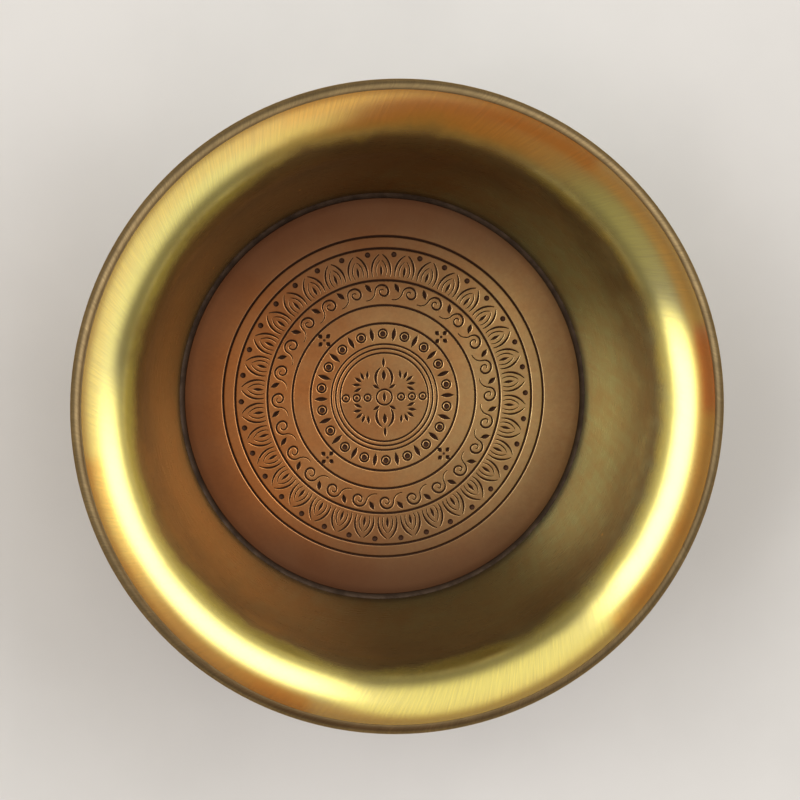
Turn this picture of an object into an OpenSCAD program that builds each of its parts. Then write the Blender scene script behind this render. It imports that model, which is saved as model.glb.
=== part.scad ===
// Incense bowl: a spun brass shell with a half-round rim wire, an engraved copper floor plate and a
// turned foot ring, all soldered together. The z axis is the bowl's own axis, and z = 0 is the surface
// that the bowl stands on.

/* [Bowl] */
// Overall diameter, over the rim wire
rim_d = 130; // [122:1:150]
// Overall height, from the table to the top of the rim wire
bowl_h = 48; // [42:1:60]
// Thickness of the shell's sheet
wall_t = 1.2; // [0.8:0.1:2]
// Radius of the inside corner between the bottom and the wall
corner_r = 0.6; // [0.4:0.1:0.8]
// Radius of the wall's hollow curve, seen in section
belly_r = 150; // [100:10:300]
// Radius of the flare that turns the wall out into the lip
lip_r = 13; // [8:0.5:16]
// Slope of the lip where it meets the rim wire, in degrees
lip_slope = 4; // [0:1:15]

/* [Rim wire] */
// Radius of the half-round wire
wire_r = 2.1; // [1.5:0.1:3]
// Height by which the wire stands proud of the lip
wire_step = 0.2; // [0:0.05:0.5]

/* [Foot ring] */
// Outer diameter where the foot stands on the table
foot_d = 76; // [70:1:82]
// Outer diameter at the waist, under the shell
foot_waist_d = 73; // [67:1:75]
// Height of the foot ring
foot_h = 6; // [5:0.5:10]
// Thickness of the ring where it is thinnest
foot_t = 2.2; // [1.5:0.1:4]
// Height of the upright edge at the table
foot_land = 0.7; // [0.4:0.1:1.5]
// Radius of the hollow flank
foot_cove_r = 10; // [10:1:20]
// Chamfer on the inner edge of the standing face
foot_chamfer = 0.5; // [0.2:0.1:1]

/* [Solder] */
// Gap that the solder fills between two pieces
solder_gap = 0.1; // [0.05:0.05:0.2]
// Leg of the solder fillets under the lip and inside the foot
fillet_leg = 1.2; // [0.6:0.1:1.8]
// Depth of the floor seam below the face of the plate
seam_sink = 0.2; // [0.1:0.05:0.3]

/* [Floor plate] */
// Diameter of the plate
plate_d = 86; // [80:1:92]
// Thickness of the plate
plate_t = 1.3; // [1.2:0.1:2]
// Play between the plate and the start of the shell's corner
plate_play = 0.2; // [0.1:0.05:0.4]
// Chamfer round the plate's upper edge
plate_chamfer = 0.3; // [0.1:0.1:0.5]

/* [Engraved rings] */
// Radius of the innermost ring, round the emblem
medallion_r = 9.6; // [9.4:0.1:11]
// Step between the three rings round the emblem
triple_step = 0.95; // [0.8:0.05:1.2]
// Width of the pearl band
pearl_band_w = 4.5; // [4:0.1:5]
// Width of the flower band
flower_band_w = 3.9; // [3.7:0.1:4.5]
// Width of the scroll band
scroll_band_w = 5.4; // [5:0.1:6]
// Width of the lotus band
lotus_band_w = 6.9; // [6:0.1:7.5]
// Width of the plain border inside the outermost ring
border_w = 2.6; // [1.5:0.1:4]
// Width of a single ring's groove
ring_line_w = 0.6; // [0.4:0.05:0.8]
// Width of the grooves round the emblem
triple_line_w = 0.45; // [0.3:0.05:0.6]
// Depth of every engraved cut
cut_depth = 0.3; // [0.15:0.05:0.5]

/* [Engraved ornament] */
// Width of an engraved stroke
line_w = 0.48; // [0.36:0.02:0.54]
// Bare strip between a ring and the ornament beside it
band_margin = 0.7; // [0.5:0.05:0.9]
// Number of lotus petals
petal_count = 34; // [28:1:38]
// Gap between two petals at their widest
petal_gap = 0.4; // [0.3:0.05:0.6]
// Height of a petal's widest place above its foot
petal_belly = 1.4; // [1:0.1:1.8]
// Number of scrolls
scroll_count = 24; // [18:1:25]
// Radius of a scroll's outer turn
scroll_r = 1.75; // [1.5:0.05:1.8]
// Number of pearls
pearl_count = 18; // [12:1:20]
// Length of a petal of the four flowers
flower_petal_l = 1.2; // [0.9:0.05:1.3]

/* [Emblem] */
// Radius of the ring in the middle
hub_r = 2; // [1.8:0.1:2.1]
// Distance from the middle to the point of a bud
bud_reach = 7.2; // [6.5:0.1:7.6]
// Width of a bud
bud_w = 4.4; // [3.6:0.1:4.8]
// Radius of a link beside the middle ring
link_r = 1.05; // [0.9:0.05:1.1]
// Distance between two links
link_step = 2.35; // [2.25:0.05:2.4]
// Length of a leaf of the four sprays
spray_leaf_l = 2; // [1.4:0.1:2.2]

/* [Hidden] */

$fa = 1;
$fs = 0.25;

BRASS = "#b8934a";
PALE_BRASS = "#a98d5c";
COPPER = "#a5673a";
SOLDER = "#4a4038";

// Heights of the stacked faces
bottom_z = foot_h + solder_gap;
inner_z = bottom_z + wall_t;
plate_z = inner_z + solder_gap;
plate_top_z = plate_z + plate_t;

// Radii where pieces meet
plate_r = plate_d / 2;
flat_r = plate_r + plate_play;
wire_face_r = rim_d / 2 - wire_r;
lip_end_r = wire_face_r - solder_gap;
wire_mid_z = bowl_h - wire_r;
foot_inner_r = min(foot_d, foot_waist_d) / 2 - foot_t;

// Where circles of radius ra about a and rb about b cross, on the left of the line from a to b
function crossing(a, ra, b, rb) =
    let (
        d = norm(b - a),
        along = (d * d + ra * ra - rb * rb) / (2 * d),
        aside = sqrt(ra * ra - along * along),
        u = (b - a) / d
    )
    a + along * u + aside * [-u.y, u.x];

// Direction from one point to another, in degrees
function heading(from, to) = atan2(to.y - from.y, to.x - from.x);

// The same direction, counted from 0 to 360
function full_heading(from, to) = (heading(from, to) + 360) % 360;

// Points along an arc about a centre, without its first point
function arc(c, r, from, to, steps) =
    [for (i = [1:steps]) let (a = from + (to - from) * i / steps) c + r * [cos(a), sin(a)]];

function reversed(points) = [for (i = [len(points) - 1:-1:0]) points[i]];

// Centres of the three tangent curves that make the inside of the wall, from the bottom up
corner_c = [flat_r, inner_z + corner_r];
lip_c = [
    wire_face_r + lip_r * sin(lip_slope),
    bowl_h - wire_step - lip_r * cos(lip_slope)
];
belly_c = crossing(corner_c, belly_r - corner_r, lip_c, belly_r + lip_r);
corner_end = heading(belly_c, corner_c);
belly_end = heading(belly_c, lip_c);
lip_start = belly_end + 180;

// Steps that the section's arcs are drawn with
corner_steps = 5;
belly_steps = 12;
lip_steps = 18;
fillet_steps = 8;
cove_steps = 8;

// Radii of the engraved rings, from the emblem outwards
triple_r = [for (i = [0:2]) medallion_r + i * triple_step];
pearl_ring_r = triple_r[2] + pearl_band_w;
flower_ring_r = pearl_ring_r + flower_band_w;
scroll_ring_r = flower_ring_r + scroll_band_w;
lotus_ring_r = scroll_ring_r + lotus_band_w;
border_ring_r = lotus_ring_r + border_w;

// Distance by which a cutting shape passes the face that it cuts
overcut = 1;

// Widths of the small leaves, and how the scroll's leaf and the sprays lean, in degrees
leaf_w = 2 * line_w;
spray_leaf_w = 1.5 * line_w;
scroll_leaf_lean = 40;
spray_lean = 35;
spray_spread = 30;

// Angle about the lip's centre at which a radius reaches out to a distance from the axis
function lip_angle(r, reach) = acos((reach - lip_c.x) / r);

// One face of the shell's sheet, from the axis to the end of the lip, on the inner side or a thickness out
function sheet_face(out) =
    concat(
        [[0, inner_z - out], [flat_r, inner_z - out]],
        arc(corner_c, corner_r + out, -90, corner_end, corner_steps),
        arc(belly_c, belly_r + out, corner_end, belly_end, belly_steps),
        arc(lip_c, lip_r - out, lip_start, lip_angle(lip_r - out, lip_end_r), lip_steps)
    );

// Inside radius of the wall at a height between the corner and the lip
function wall_r(z) = belly_c.x + sqrt(pow(belly_r, 2) - pow(z - belly_c.y, 2));

// Corner fill with a hollow face: its right angle is at the origin, its legs run to -x and -y
module fillet_section(leg) {
    difference() {
        translate([-leg, -leg]) square(leg);
        translate([-leg, -leg]) circle(leg);
    }
}

module bowl_shell() {
    color(BRASS) rotate_extrude()
        polygon(concat(sheet_face(0), reversed(sheet_face(wall_t))));
}

module rim_wire() {
    color(PALE_BRASS) rotate_extrude() intersection() {
        translate([wire_face_r, wire_mid_z]) circle(wire_r);
        translate([wire_face_r, 0]) square([wire_r, bowl_h]);
    }
}

// The fillet fills the corner between the wire's flat face and the underside of the lip
module rim_seam() {
    under_r = lip_r - wall_t - solder_gap;
    end_angle = lip_angle(under_r, lip_end_r);
    corner = lip_c + under_r * [cos(end_angle), sin(end_angle)];
    hollow_c = corner - [fillet_leg, fillet_leg];
    meet = crossing(hollow_c, fillet_leg, lip_c, under_r);
    color(SOLDER) rotate_extrude() polygon(concat(
        [corner - [0, fillet_leg]],
        arc(hollow_c, fillet_leg, 0, heading(hollow_c, meet), fillet_steps),
        arc(lip_c, under_r, heading(lip_c, meet), end_angle, fillet_steps)
    ));
}

module floor_seam() {
    low_z = inner_z + corner_r;
    top_z = plate_top_z - seam_sink;
    inner_r = plate_r + solder_gap;
    color(SOLDER) rotate_extrude() polygon([
        [inner_r, low_z],
        [wall_r(low_z) - solder_gap, low_z],
        [wall_r(top_z) - solder_gap, top_z],
        [inner_r, top_z]
    ]);
}

// The hollow flank runs from the upright edge at the table to the waist
module foot_ring() {
    edge = [foot_d / 2, foot_land];
    waist = [foot_waist_d / 2, foot_h];
    cove_c = crossing(waist, foot_cove_r, edge, foot_cove_r);
    color(BRASS) rotate_extrude() polygon(concat(
        [[foot_inner_r, foot_h], [foot_inner_r, foot_chamfer], [foot_inner_r + foot_chamfer, 0]],
        [[foot_d / 2, 0], edge],
        arc(cove_c, foot_cove_r, full_heading(cove_c, edge), full_heading(cove_c, waist), cove_steps)
    ));
}

module foot_seam() {
    color(SOLDER) rotate_extrude()
        translate([foot_inner_r - solder_gap, foot_h]) fillet_section(fillet_leg);
}

module floor_plate() {
    color(COPPER) difference() {
        rotate_extrude() polygon([
            [0, plate_z],
            [plate_r, plate_z],
            [plate_r, plate_top_z - plate_chamfer],
            [plate_r - plate_chamfer, plate_top_z],
            [0, plate_top_z]
        ]);
        translate([0, 0, plate_top_z - cut_depth]) linear_extrude(cut_depth + overcut) {
            rings();
            ornament();
        }
    }
}

module rings() {
    for (r = triple_r) ring_line(r, triple_line_w);
    for (r = [pearl_ring_r, flower_ring_r, scroll_ring_r, lotus_ring_r, border_ring_r])
        ring_line(r, ring_line_w);
}

// Line of a width, along a circle
module ring_line(r, w) {
    difference() {
        circle(r + w / 2);
        circle(r - w / 2);
    }
}

module ornament() {
    emblem();
    pearl_band();
    flower_band();
    scroll_band();
    lotus_band();
}

// Ring drawn with one stroke inside its radius
module ring_stroke(r) {
    difference() {
        circle(r);
        circle(r - line_w);
    }
}

// Pointed leaf along y, with its middle at the origin
module leaf(w, l) {
    curve_r = (l * l + w * w) / (4 * w);
    intersection_for (side = [-1, 1])
        translate([side * (curve_r - w / 2), 0]) circle(curve_r);
}

// Pointed arch: widest at y = 0, its point at y = rise and its open foot at y = -drop
module arch_stroke(w, rise, drop) {
    curve_r = (rise * rise + w * w / 4) / w;
    difference() {
        intersection() {
            arch_face(w, curve_r, 0);
            translate([-w, -drop]) square([2 * w, rise + drop]);
        }
        arch_face(w, curve_r, line_w);
    }
}

// The arch's face, drawn in on both sides by an inset
module arch_face(w, curve_r, inset) {
    intersection_for (side = [-1, 1])
        translate([side * (curve_r - w / 2), 0]) circle(curve_r - inset);
}

// Petals stand side by side with their points outwards, with a vein in each and a dot between them
module lotus_band() {
    inner = scroll_ring_r + band_margin;
    outer = lotus_ring_r - band_margin;
    widest_r = inner + petal_belly;
    rise = outer - widest_r;
    petal_w = 2 * PI * widest_r / petal_count - petal_gap;
    turn = 360 / petal_count;
    for (i = [0:petal_count - 1]) rotate(i * turn) {
        translate([0, widest_r]) {
            arch_stroke(petal_w, rise, petal_belly);
            leaf(leaf_w, rise);
        }
        rotate(turn / 2) translate([0, outer - line_w]) circle(line_w);
    }
}

// Running scrolls: each is a spiral of half turns with a tail towards its neighbour, and a leaf above it
module scroll_band() {
    tail_reach = scroll_band_w - 2 * band_margin - scroll_r;
    mid_r = flower_ring_r + band_margin + tail_reach;
    tail_r = tail_reach - line_w / 2;
    for (i = [0:scroll_count - 1]) rotate(i * 360 / scroll_count) translate([0, mid_r]) {
        polygon(concat(scroll_side(tail_r, line_w / 2), reversed(scroll_side(tail_r, -line_w / 2))));
        translate([-scroll_r - tail_reach / 2, tail_reach / 3]) rotate(scroll_leaf_lean)
            leaf(leaf_w, tail_reach);
    }
}

// One side of a scroll's stroke, from the end of the tail to the eye of the spiral
function scroll_side(tail_r, half) =
    let (
        turn_r = scroll_r - line_w / 2,
        step = turn_r / 3,
        tail_c = [-turn_r - tail_r, 0]
    )
    concat(
        [tail_c - [0, tail_r - half]],
        arc(tail_c, tail_r - half, -90, 0, 4),
        arc([0, 0], turn_r + half, 180, 0, 8),
        arc([step, 0], turn_r - step + half, 0, -180, 6),
        arc([0, 0], turn_r - 2 * step + half, 180, 0, 4)
    );

// Four-petalled flowers on the diagonals
module flower_band() {
    mid_r = (pearl_ring_r + flower_ring_r) / 2;
    for (corner = [45:90:315]) rotate(corner) translate([mid_r, 0]) {
        circle(line_w / 2);
        for (a = [0:90:270]) rotate(a) translate([0, line_w + flower_petal_l / 2])
            leaf(leaf_w, flower_petal_l);
    }
}

// Pearls, each a ring with a dot, with an upright leaf between each two
module pearl_band() {
    mid_r = (triple_r[2] + pearl_ring_r) / 2;
    room = pearl_band_w - 2 * band_margin;
    turn = 360 / pearl_count;
    for (i = [0:pearl_count - 1]) rotate(i * turn) translate([0, mid_r]) {
        ring_stroke(room / 2 - line_w / 2);
        circle(line_w);
    }
    for (i = [0:pearl_count - 1]) rotate((i + 0.5) * turn) translate([0, mid_r])
        leaf(leaf_w, room);
}

// A ritual sceptre upright in the middle: a ring with a bud at each end, three links at each side
// and four leaf sprays
module emblem() {
    ring_stroke(hub_r);
    circle(hub_r - 3 * line_w);
    for (end = [0, 180]) rotate(end) bud();
    for (side = [-1, 1], i = [0:2]) translate([side * (hub_r + line_w + link_r + i * link_step), 0]) {
        ring_stroke(link_r);
        circle(line_w / 2);
    }
    for (a = [0, 1], b = [0, 1]) mirror([a, 0]) mirror([0, b]) spray();
}

// A closed bud with its middle prong and a bead at its point
module bud() {
    foot = hub_r + line_w;
    belly = (bud_reach - foot) / 3;
    rise = bud_reach - foot - belly;
    translate([0, foot + belly]) {
        arch_stroke(bud_w, rise, belly);
        translate([0, line_w]) leaf(leaf_w, rise - line_w);
    }
    translate([-bud_w / 4, foot]) square([bud_w / 2, line_w]);
    translate([0, bud_reach + line_w]) circle(line_w);
}

// Five leaves in a fan, in one quarter of the medallion
module spray() {
    reach = (medallion_r + hub_r) / 2;
    rotate(spray_lean) translate([reach - leaf_w, 0]) for (i = [-2:2])
        rotate(i * spray_spread) translate([leaf_w + spray_leaf_l / 2, 0]) rotate(90)
            leaf(spray_leaf_w, spray_leaf_l);
}

bowl_shell();
rim_wire();
rim_seam();
floor_plate();
floor_seam();
foot_ring();
foot_seam();
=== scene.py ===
"""Looks of the incense bowl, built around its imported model."""
import math

import bpy
from bpy.props import FloatProperty, FloatVectorProperty, IntProperty, PointerProperty
from mathutils import Matrix, Vector


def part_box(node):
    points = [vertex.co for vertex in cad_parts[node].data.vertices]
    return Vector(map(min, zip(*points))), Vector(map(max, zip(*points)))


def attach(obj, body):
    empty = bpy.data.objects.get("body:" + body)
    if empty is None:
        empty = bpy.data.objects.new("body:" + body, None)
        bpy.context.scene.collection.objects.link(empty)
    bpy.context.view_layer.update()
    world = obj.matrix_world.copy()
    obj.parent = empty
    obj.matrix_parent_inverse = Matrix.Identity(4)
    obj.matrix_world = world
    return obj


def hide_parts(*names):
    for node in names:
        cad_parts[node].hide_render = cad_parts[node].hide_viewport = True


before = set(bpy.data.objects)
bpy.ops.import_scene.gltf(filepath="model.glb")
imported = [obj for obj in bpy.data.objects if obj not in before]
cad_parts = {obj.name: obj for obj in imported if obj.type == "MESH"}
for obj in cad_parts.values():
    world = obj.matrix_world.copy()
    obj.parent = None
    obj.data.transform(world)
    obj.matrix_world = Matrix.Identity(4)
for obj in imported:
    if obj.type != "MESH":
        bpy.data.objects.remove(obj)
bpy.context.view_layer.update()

bl_info = {
    "name": "Incense Bowl",
    "version": (1, 0, 0),
    "blender": (4, 5, 0),
    "location": "View3D > Sidebar > Incense Bowl",
    "description": "Builds a spun brass incense bowl with an engraved copper floor",
    "category": "Add Mesh",
}

MM = 0.001
SHELL_LOW, SHELL_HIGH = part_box("bowl_shell")
WIRE_LOW, WIRE_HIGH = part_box("rim_wire")
PLATE_LOW, PLATE_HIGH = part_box("floor_plate")
FLOOR_SEAM_LOW, FLOOR_SEAM_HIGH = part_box("floor_seam")
FOOT_HIGH, RIM_SEAM_HIGH, FOOT_SEAM_HIGH = (
    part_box(node)[1] for node in ("foot_ring", "rim_seam", "foot_seam")
)

WIRE_R = (WIRE_HIGH.z - WIRE_LOW.z) / 2
WIRE_FACE_R = WIRE_HIGH.x - WIRE_R

# Nearer than this, two points of a mesh are one
SAME_PLACE = MM / 500
# Shorter than this, an edge that a cut leaves is dissolved
SLIVER = MM / 10000


def length(name, description, millimetres):
    """A length that the user can set, given in millimetres and kept in metres."""
    return FloatProperty(
        name=name, description=description, default=millimetres * MM, unit="LENGTH", precision=5
    )


def angle(name, description, degrees):
    """An angle that the user can set, given in degrees and kept in radians."""
    return FloatProperty(
        name=name, description=description, default=math.radians(degrees), unit="ROTATION"
    )


def share(name, description, value):
    """A plain number that the user can set."""
    return FloatProperty(name=name, description=description, default=value)


def position(name, description, *millimetres):
    """A point that the user can set, given in millimetres and kept in metres."""
    return FloatVectorProperty(
        name=name, description=description, default=[part * MM for part in millimetres],
        unit="LENGTH", precision=5,
    )


def colour(name, description, red, green, blue):
    """A colour that the user can set, as linear light."""
    return FloatVectorProperty(
        name=name, description=description, default=(red, green, blue, 1.0),
        size=4, subtype="COLOR", min=0.0, max=1.0,
    )


class BowlSizes(bpy.types.PropertyGroup):
    """Sizes of the turned and spun pieces"""

    wall: length("Wall", "Thickness of the shell's sheet", 1.2)
    corner: length("Corner", "Inside radius between the bottom and the wall", 0.6)
    belly: length("Belly", "Radius of the wall's hollow curve", 150)
    lip: length("Lip", "Radius of the flare", 13)
    lip_slope: angle("Lip slope", "Slope of the lip where it meets the rim wire", 4)
    lip_edge: length("Lip edge", "Chamfer on the sheet's edge at the rim wire", 0.03)
    plate_play: length("Plate play", "Play between the plate and the shell's corner", 0.2)
    plate_edge: length("Plate edge", "Chamfer round the plate", 0.12)
    wire_step: length("Wire step", "Height of the wire above the lip", 0.2)
    wire_edge: length("Wire edge", "Chamfer on the wire's two edges", 0.05)
    fillet: length("Fillet", "Leg of the solder fillets", 1.2)
    foot_waist: length("Foot waist", "Outer radius of the foot under the shell", 36.5)
    foot_wall: length("Foot wall", "Thickness of the foot where it is thinnest", 2.2)
    foot_land: length("Foot land", "Upright edge of the foot at the table", 0.7)
    foot_cove: length("Foot cove", "Radius of the foot's hollow flank", 10)
    foot_edge: length("Foot edge", "Chamfer inside the standing face", 0.5)
    turn_steps: IntProperty(name="Turn steps", description="Steps in a full turn", default=256)


class EngravingSizes(bpy.types.PropertyGroup):
    """Sizes of the engraved rings and ornament"""

    medallion: length("Medallion", "Radius of the ring round the emblem", 9.6)
    triple_step: length("Triple step", "Step between the three rings round the emblem", 0.95)
    pearl_band: length("Pearl band", "Width of the band of pearls", 4.5)
    flower_band: length("Flower band", "Width of the band of flowers", 3.9)
    scroll_band: length("Scroll band", "Width of the band of scrolls", 5.4)
    lotus_band: length("Lotus band", "Width of the band of petals", 6.9)
    border: length("Border", "Width of the plain border inside the outermost ring", 2.6)
    ring_line: length("Ring line", "Width of a ring's groove", 0.72)
    triple_line: length("Triple line", "Width of the grooves round the emblem", 0.6)
    line: length("Line", "Width of a stroke at its fullest", 0.6)
    shoulder: share("Shoulder", "Width of a cut's dark middle as a share of its whole width", 0.6)
    shoulder_slope: angle("Shoulder slope", "Slope of the worn shoulders beside a cut", 24)
    cut_slope: angle("Cut slope", "Slope of a cut's sides in its middle", 55)
    margin: length("Margin", "Bare strip between a ring and the ornament", 0.7)
    petals: IntProperty(name="Petals", description="Number of lotus petals", default=34)
    petal_gap: length("Petal gap", "Gap between two petals at their widest", 0.4)
    petal_belly: length("Petal belly", "Height of a petal's widest place above its foot", 1.4)
    scrolls: IntProperty(name="Scrolls", description="Number of scrolls", default=24)
    scroll_r: length("Scroll", "Radius of a scroll's outer turn", 1.75)
    pearls: IntProperty(name="Pearls", description="Number of pearls", default=18)
    flower_petal: length("Flower petal", "Length of a flower's petal", 1.2)
    hub: length("Hub", "Radius of the ring in the middle", 2)
    bud_reach: length("Bud reach", "Distance from the middle to a bud's point", 7.2)
    bud_width: length("Bud width", "Width of a bud", 4.4)
    link: length("Link", "Radius of a link", 1.05)
    link_step: length("Link step", "Distance between two links", 2.35)
    spray_leaf: length("Spray leaf", "Length of a leaf of the sprays", 2)


class FinishColours(bpy.types.PropertyGroup):
    """Colours of the metals and their patina"""

    gold: colour("Gold brass", "Bare brass on the lip", 0.87, 0.73, 0.14)
    # Amber: in small specks, and as painted dim reflection at the lip's edge and back
    amber: colour("Amber brass", "Warm brass near the edge of the lip", 0.85, 0.46, 0.085)
    # Painted reflection: an orange patch at the lip's edge, beside the highlight at the right
    blush: colour("Heat tint", "Red tint on one place of the lip's edge", 0.80, 0.29, 0.045)
    brown: colour("Brown patina", "Patina in the wall", 0.30, 0.175, 0.055)
    olive: colour("Olive patina", "Greener patina in the wall", 0.35, 0.40, 0.20)
    ember: colour("Ember patina", "Redder clouds in the wall", 0.36, 0.16, 0.04)
    # Darker colour toward the lip, and painted shade on two sides of the wall
    smoke_and_shade: colour("Smoke", "Dark film in the wall under the lip", 0.13, 0.085, 0.035)
    # Red copper at the left turning to golden copper at the right is painted light
    copper: colour("Copper", "Golden copper at the right of the floor plate", 0.68, 0.49, 0.215)
    red_copper: colour("Red copper", "Redder copper at the left of the floor plate", 0.64, 0.275, 0.088)
    # Reddish-brown grain, and painted shade outside the rings and at the plate's ends and sides
    russet: colour("Russet copper", "Film on the outer part of the floor plate", 0.17, 0.085, 0.048)
    # Dark in the engraved cuts, and painted shade in the corner along the floor seam
    soot_and_shade: colour("Soot", "Darkening in the cuts and along the floor seam", 0.07, 0.032, 0.018)
    wire: colour("Wire", "Satin rim wire", 0.27, 0.19, 0.09)
    wire_dark: colour("Worn wire", "Darker marks on the rim wire", 0.12, 0.083, 0.043)
    wire_glint: colour("Wire glint", "Tint of the wire where light grazes it", 0.75, 0.6, 0.4)
    solder: colour("Solder", "Darkened solder", 0.085, 0.058, 0.042)
    solder_pale: colour("Pale solder", "Paler solder where it is rubbed", 0.12, 0.083, 0.06)
    floor: colour("Floor", "Floor of the studio", 0.66, 0.65, 0.63)


class StudioSettings(bpy.types.PropertyGroup):
    """Camera and light of the studio"""

    camera_place: position("Camera place", "Where the camera stands", -40.27, 30.17, 433.15)
    camera_aim: position("Camera aim", "Point in the middle of the picture", 3.39, -0.71, 8.7)
    camera_up: FloatVectorProperty(
        name="Camera up", description="Direction that is upright in the picture",
        default=(0.0319, 0.9971, -0.0693), subtype="DIRECTION", precision=4,
    )
    lens: share("Lens", "Focal length in millimetres", 88.81)
    left_panel: share("Left panel", "Level of the bright panel at the left", 3.5)
    right_panel: share("Right panel", "Level of the bright panel at the right", 3.3)
    back_panel: share("Back panel", "Level of the panel between them", 1.04)
    side_panel: share("Side panel", "Level of the panel at the right, a little in front", 1.12)
    front_panel: share("Front panel", "Level of the panel in front, to the right", 1.0)
    lamp_panel: share("Lamp panel", "Level of the two dim panels in front, to the left", 0.34)
    dusk: colour("Dusk", "Dim backdrop above the horizon", 0.18, 0.17, 0.18)
    ceiling: colour("Ceiling", "Warm ceiling round the middle", 0.42, 0.25, 0.15)
    zenith: colour("Zenith", "Darker middle of the ceiling", 0.22, 0.12, 0.08)
    curtain: colour("Curtain", "Pale backdrop round the floor", 0.80, 0.77, 0.73)


class BowlSettings(bpy.types.PropertyGroup):
    """Everything that the incense bowl is built from"""

    sizes: PointerProperty(type=BowlSizes)
    engraving: PointerProperty(type=EngravingSizes)
    finish: PointerProperty(type=FinishColours)
    studio: PointerProperty(type=StudioSettings)


def settings():
    return bpy.context.scene.incense_bowl


# Outlines in the plane of radius and height

def polar(centre, radius, degrees):
    """The point at a distance and an angle from a centre."""
    turn = math.radians(degrees)
    return Vector((centre[0] + radius * math.cos(turn), centre[1] + radius * math.sin(turn)))


def arc(centre, radius, start, end, steps):
    """Points along an arc, with both its ends."""
    return [polar(centre, radius, start + (end - start) * i / steps) for i in range(steps + 1)]


def heading(start, end):
    """Direction from one point to another, in degrees."""
    return math.degrees(math.atan2(end[1] - start[1], end[0] - start[0]))


def crossing(a, radius_a, b, radius_b):
    """Where two circles cross, on the left of the line from a to b."""
    a, b = Vector(a), Vector(b)
    gap = (b - a).length
    along = (gap ** 2 + radius_a ** 2 - radius_b ** 2) / (2 * gap)
    aside = math.sqrt(radius_a ** 2 - along ** 2)
    ahead = (b - a) / gap
    return a + along * ahead + aside * Vector((-ahead.y, ahead.x))


class WallCurve:
    """The three tangent arcs of the shell's section: corner, belly and lip."""

    def __init__(self, sizes):
        self.sizes = sizes
        self.floor_z = SHELL_LOW.z + sizes.wall
        self.corner_c = Vector((PLATE_HIGH.x + sizes.plate_play, self.floor_z + sizes.corner))
        self.lip_c = Vector((
            WIRE_FACE_R + sizes.lip * math.sin(sizes.lip_slope),
            WIRE_HIGH.z - sizes.wire_step - sizes.lip * math.cos(sizes.lip_slope),
        ))
        self.belly_c = crossing(
            self.corner_c, sizes.belly - sizes.corner, self.lip_c, sizes.belly + sizes.lip
        )

    def lip_angle(self, radius, reach):
        """Angle about the lip's centre at which a radius comes to a distance from the axis."""
        return math.degrees(math.acos((reach - self.lip_c.x) / radius))

    def face(self, out, reach):
        """One face of the sheet, a distance outside its inner face, from the axis to a reach."""
        sizes = self.sizes
        corner_end = heading(self.belly_c, self.corner_c)
        belly_end = heading(self.belly_c, self.lip_c)
        lip_radius = sizes.lip - out
        return (
            [Vector((0, self.floor_z - out))]
            + arc(self.corner_c, sizes.corner + out, -90, corner_end, 8)
            + arc(self.belly_c, sizes.belly + out, corner_end, belly_end, 24)[1:]
            + arc(self.lip_c, lip_radius, belly_end + 180, self.lip_angle(lip_radius, reach), 40)[1:]
        )

    def inside_r(self, z):
        """Inside radius of the wall at a height below the lip."""
        return self.belly_c.x + math.sqrt(self.sizes.belly ** 2 - (z - self.belly_c.y) ** 2)


# Shaping with Blender's own tools

def select_only(*pieces):
    """Select these pieces and nothing else, with the first one active."""
    bpy.ops.object.select_all(action="DESELECT")
    for piece in pieces:
        piece.select_set(True)
    bpy.context.view_layer.objects.active = pieces[0]


def lathe(name, outline, closed=True):
    """Draw a point along an outline and spin the line; a closed one comes back to its first point."""
    bpy.ops.object.select_all(action="DESELECT")
    bpy.ops.mesh.primitive_plane_add(size=MM, location=(0, 0, 0))
    piece = bpy.context.object
    piece.name = name
    points = [Vector((r, 0, z)) for r, z in outline]
    if closed:
        points.append(points[0])
    bpy.ops.object.mode_set(mode="EDIT")
    bpy.ops.mesh.merge(type="CENTER")
    bpy.ops.transform.translate(value=points[0])
    for here, there in zip(points, points[1:]):
        bpy.ops.mesh.extrude_vertices_move(TRANSFORM_OT_translate={"value": there - here})
    bpy.ops.mesh.select_all(action="SELECT")
    bpy.ops.mesh.remove_doubles(threshold=SAME_PLACE)
    bpy.ops.mesh.spin(
        steps=settings().sizes.turn_steps, angle=2 * math.pi, center=(0, 0, 0), axis=(0, 0, 1)
    )
    close_mesh()
    bpy.ops.object.mode_set(mode="OBJECT")
    smooth(piece)
    return piece


def close_mesh():
    """Merge what lies on the same place, and turn all faces outwards."""
    bpy.ops.mesh.select_all(action="SELECT")
    bpy.ops.mesh.remove_doubles(threshold=SAME_PLACE)
    bpy.ops.mesh.normals_make_consistent(inside=False)


def smooth(piece, sharpest=32):
    """Shade smooth, apart from the edges that turn by more than an angle in degrees."""
    select_only(piece)
    bpy.ops.object.shade_smooth_by_angle(angle=math.radians(sharpest))


def finish_piece(piece, node, slot):
    """Give a piece its slot's material, hang it under the root, and hide the node of the model that it
    stands for.
    """
    name, build = MATERIALS[slot]
    piece.data.materials.clear()
    piece.data.materials.append(bpy.data.materials.get(name) or build(name))
    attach(piece, "root")
    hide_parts(node)


# Engraved strokes: each is a cut of a pointed graver, deeper where it is wider

def cut_half(width):
    """Half of a cut's section, from the plate's face over the worn shoulder to the bottom."""
    sizes = settings().engraving
    edge = width / 2
    shoulder = edge * sizes.shoulder
    shoulder_z = -(edge - shoulder) * math.tan(sizes.shoulder_slope)
    bottom_z = shoulder_z - shoulder * math.tan(sizes.cut_slope)
    return [(edge, 0.0), (shoulder, shoulder_z), (0.0, bottom_z)]


def flat_curve(name):
    """A new curve in the plane, and the object that holds it."""
    curve = bpy.data.curves.new(name, "CURVE")
    curve.dimensions = "2D"
    holder = bpy.data.objects.new(name, curve)
    bpy.context.scene.collection.objects.link(holder)
    return curve, holder


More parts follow.
